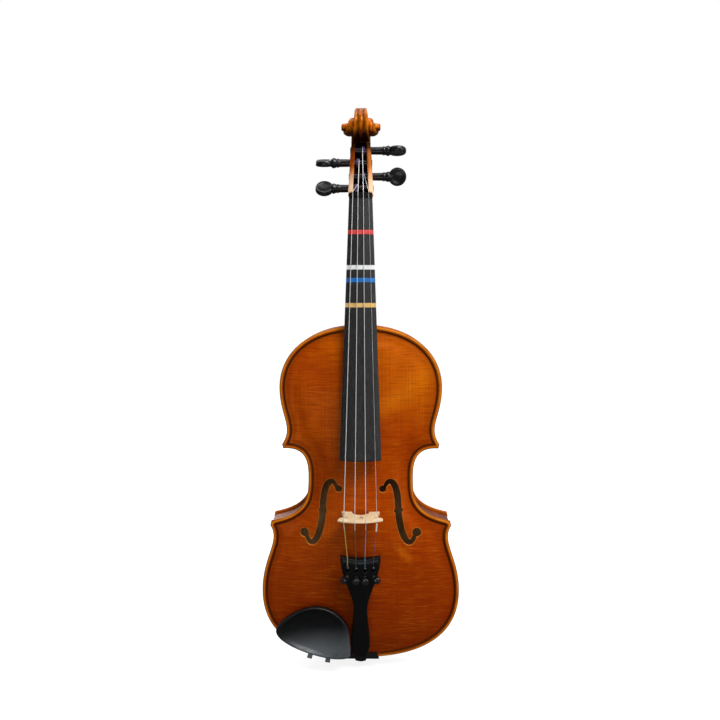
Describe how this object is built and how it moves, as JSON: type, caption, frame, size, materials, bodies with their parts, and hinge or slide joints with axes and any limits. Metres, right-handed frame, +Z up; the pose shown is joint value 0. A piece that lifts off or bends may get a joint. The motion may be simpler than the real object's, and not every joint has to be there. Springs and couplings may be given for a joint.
{
  "type": "violin",
  "caption": "Full-size violin with arched belly and back, scroll, tuning pegs, bridge, tailpiece with fine tuners, chin rest and finger tapes.",
  "frame": {"origin": "centre of the outer face of the end button, on the middle line of the body and at the middle of the rib height", "axes": "+Z up along the body towards the scroll, -Y out of the belly (the front), +X towards the treble side"},
  "size_m": [0.2096, 0.0953, 0.5935],
  "materials": {
    "belly_spruce": "satin varnish",
    "maple": "satin varnish",
    "scroll_maple": "satin varnish",
    "inside_wood": "bare",
    "purfling": "satin varnish",
    "fingerboard_black": "satin",
    "peg_black": "polished",
    "tape_red": "matt",
    "tape_white": "matt",
    "tape_blue": "matt",
    "tape_yellow": "matt",
    "tailpiece_black": "satin",
    "knob_black": "satin",
    "gut_black": "satin",
    "bridge_maple": "bare, polished",
    "string_steel": "wound steel",
    "sleeve_white": "soft",
    "bright_metal": "bright nickel",
    "chin_rest_black": "matt",
    "cork": "bare cork"
  },
  "bodies": {
    "violin": {"belly": "belly_spruce", "back": "maple", "rib_upper_bass": "maple", "rib_upper_treble": "maple", "rib_waist_bass": "maple", "rib_waist_treble": "maple", "rib_lower_bass": "maple", "rib_lower_treble": "maple", "linings_front": "inside_wood", "linings_back": "inside_wood", "neck_block": "inside_wood", "end_block": "inside_wood", "corner_blocks": "inside_wood", "bass_bar": "inside_wood", "sound_post": "inside_wood", "belly_purfling": "purfling", "back_purfling": "purfling", "neck_and_scroll": "scroll_maple", "fingerboard": "fingerboard_black", "nut": "fingerboard_black", "tape_red": "tape_red", "tape_white": "tape_white", "tape_blue": "tape_blue", "tape_yellow": "tape_yellow", "saddle": "fingerboard_black", "end_button": "peg_black", "tailpiece": "tailpiece_black", "tail_gut": "gut_black", "bridge": "bridge_maple", "string_g": "string_steel", "string_d": "string_steel", "string_a": "string_steel", "string_e": "string_steel", "string_e_sleeve": "sleeve_white", "tuner_pins": "bright_metal", "tuner_bushes": "bright_metal", "chin_rest": "chin_rest_black", "chin_rest_corks": "cork", "chin_rest_bracket": "bright_metal"},
    "peg_g": {"peg_g": "peg_black"},
    "peg_d": {"peg_d": "peg_black"},
    "peg_a": {"peg_a": "peg_black"},
    "peg_e": {"peg_e": "peg_black"},
    "tuner_screw_g": {"tuner_screw_g": "bright_metal"},
    "tuner_knob_g": {"tuner_knob_g": "knob_black"},
    "tuner_lever_g": {"tuner_lever_g": "bright_metal"},
    "tuner_screw_d": {"tuner_screw_d": "bright_metal"},
    "tuner_knob_d": {"tuner_knob_d": "knob_black"},
    "tuner_lever_d": {"tuner_lever_d": "bright_metal"},
    "tuner_screw_a": {"tuner_screw_a": "bright_metal"},
    "tuner_knob_a": {"tuner_knob_a": "knob_black"},
    "tuner_lever_a": {"tuner_lever_a": "bright_metal"},
    "tuner_screw_e": {"tuner_screw_e": "bright_metal"},
    "tuner_knob_e": {"tuner_knob_e": "knob_black"},
    "tuner_lever_e": {"tuner_lever_e": "bright_metal"},
    "chin_rest_barrel_left": {"chin_rest_barrel_left": "bright_metal"},
    "chin_rest_barrel_right": {"chin_rest_barrel_right": "bright_metal"},
    "chin_rest_foot": {"chin_rest_foot": "bright_metal", "chin_rest_foot_cork": "cork"}
  },
  "joints": [
    {"name": "peg_g_turn", "type": "hinge", "parent": "violin", "child": "peg_g", "pos_m": [0, -0.0015, 0.51], "axis": [1, 0, 0], "range_deg": [-135, 990]},
    {"name": "peg_d_turn", "type": "hinge", "parent": "violin", "child": "peg_d", "pos_m": [0, 0.0038, 0.537], "axis": [1, 0, 0], "range_deg": [-135, 990]},
    {"name": "peg_a_turn", "type": "hinge", "parent": "violin", "child": "peg_a", "pos_m": [0, 0.006, 0.55], "axis": [1, 0, 0], "range_deg": [-135, 990]},
    {"name": "peg_e_turn", "type": "hinge", "parent": "violin", "child": "peg_e", "pos_m": [0, 0.0014, 0.5225], "axis": [1, 0, 0], "range_deg": [-135, 990]},
    {"name": "tuner_screw_g_travel", "type": "slide", "parent": "violin", "child": "tuner_screw_g", "axis": [-0.4067, -0.8974, -0.1712], "range_m": [-0.0007, 0.00175]},
    {"name": "tuner_knob_g_turn", "type": "hinge", "parent": "tuner_screw_g", "child": "tuner_knob_g", "pos_m": [-0.0139, -0.04782, 0.11159], "axis": [-0.4067, -0.8974, -0.1712], "range_deg": [-361, 901]},
    {"name": "tuner_lever_g_swing", "type": "hinge", "parent": "violin", "child": "tuner_lever_g", "pos_m": [-0.0132, -0.04702, 0.12498], "axis": [1, 0, 0], "range_deg": [-7.9, 3.2]},
    {"name": "tuner_screw_d_travel", "type": "slide", "parent": "violin", "child": "tuner_screw_d", "axis": [0, -0.9823, -0.1874], "range_m": [-0.0007, 0.00175]},
    {"name": "tuner_knob_d_turn", "type": "hinge", "parent": "tuner_screw_d", "child": "tuner_knob_d", "pos_m": [-0.0046, -0.04876, 0.11141], "axis": [0, -0.9823, -0.1874], "range_deg": [-361, 901]},
    {"name": "tuner_lever_d_swing", "type": "hinge", "parent": "violin", "child": "tuner_lever_d", "pos_m": [-0.0046, -0.04786, 0.12482], "axis": [1, 0, 0], "range_deg": [-7.9, 3.2]},
    {"name": "tuner_screw_a_travel", "type": "slide", "parent": "violin", "child": "tuner_screw_a", "axis": [0, -0.9823, -0.1874], "range_m": [-0.0007, 0.00175]},
    {"name": "tuner_knob_a_turn", "type": "hinge", "parent": "tuner_screw_a", "child": "tuner_knob_a", "pos_m": [0.0046, -0.04876, 0.11141], "axis": [0, -0.9823, -0.1874], "range_deg": [-361, 901]},
    {"name": "tuner_lever_a_swing", "type": "hinge", "parent": "violin", "child": "tuner_lever_a", "pos_m": [0.0046, -0.04786, 0.12482], "axis": [1, 0, 0], "range_deg": [-7.9, 3.2]},
    {"name": "tuner_screw_e_travel", "type": "slide", "parent": "violin", "child": "tuner_screw_e", "axis": [0.4067, -0.8974, -0.1712], "range_m": [-0.0007, 0.00175]},
    {"name": "tuner_knob_e_turn", "type": "hinge", "parent": "tuner_screw_e", "child": "tuner_knob_e", "pos_m": [0.0139, -0.04782, 0.11159], "axis": [0.4067, -0.8974, -0.1712], "range_deg": [-361, 901]},
    {"name": "tuner_lever_e_swing", "type": "hinge", "parent": "violin", "child": "tuner_lever_e", "pos_m": [0.0132, -0.04702, 0.12498], "axis": [1, 0, 0], "range_deg": [-7.9, 3.2]},
    {"name": "barrel_left_turn", "type": "hinge", "parent": "violin", "child": "chin_rest_barrel_left", "pos_m": [-0.05409, 0, 0.01551], "axis": [0, 1, 0], "range_deg": [0, 1351]},
    {"name": "barrel_right_turn", "type": "hinge", "parent": "violin", "child": "chin_rest_barrel_right", "pos_m": [-0.03504, 0, 0.01105], "axis": [0, 1, 0], "range_deg": [0, 1351]},
    {"name": "chin_rest_foot_travel", "type": "slide", "parent": "violin", "child": "chin_rest_foot", "axis": [0, 1, 0], "range_m": [0, 0.006]}
  ],
  "couplings": [
    {"joint": "tuner_knob_g_turn", "follows": "tuner_screw_g_travel", "rad_per_m": 8976},
    {"joint": "tuner_lever_g_swing", "follows": "tuner_screw_g_travel", "rad_per_m": -70.273},
    {"joint": "tuner_knob_d_turn", "follows": "tuner_screw_d_travel", "rad_per_m": 8976},
    {"joint": "tuner_lever_d_swing", "follows": "tuner_screw_d_travel", "rad_per_m": -76.923},
    {"joint": "tuner_knob_a_turn", "follows": "tuner_screw_a_travel", "rad_per_m": 8976},
    {"joint": "tuner_lever_a_swing", "follows": "tuner_screw_a_travel", "rad_per_m": -76.923},
    {"joint": "tuner_knob_e_turn", "follows": "tuner_screw_e_travel", "rad_per_m": 8976},
    {"joint": "tuner_lever_e_swing", "follows": "tuner_screw_e_travel", "rad_per_m": -70.273},
    {"joint": "barrel_left_turn", "follows": "chin_rest_foot_travel", "rad_per_m": 3927},
    {"joint": "barrel_right_turn", "follows": "chin_rest_foot_travel", "rad_per_m": 3927}
  ]
}
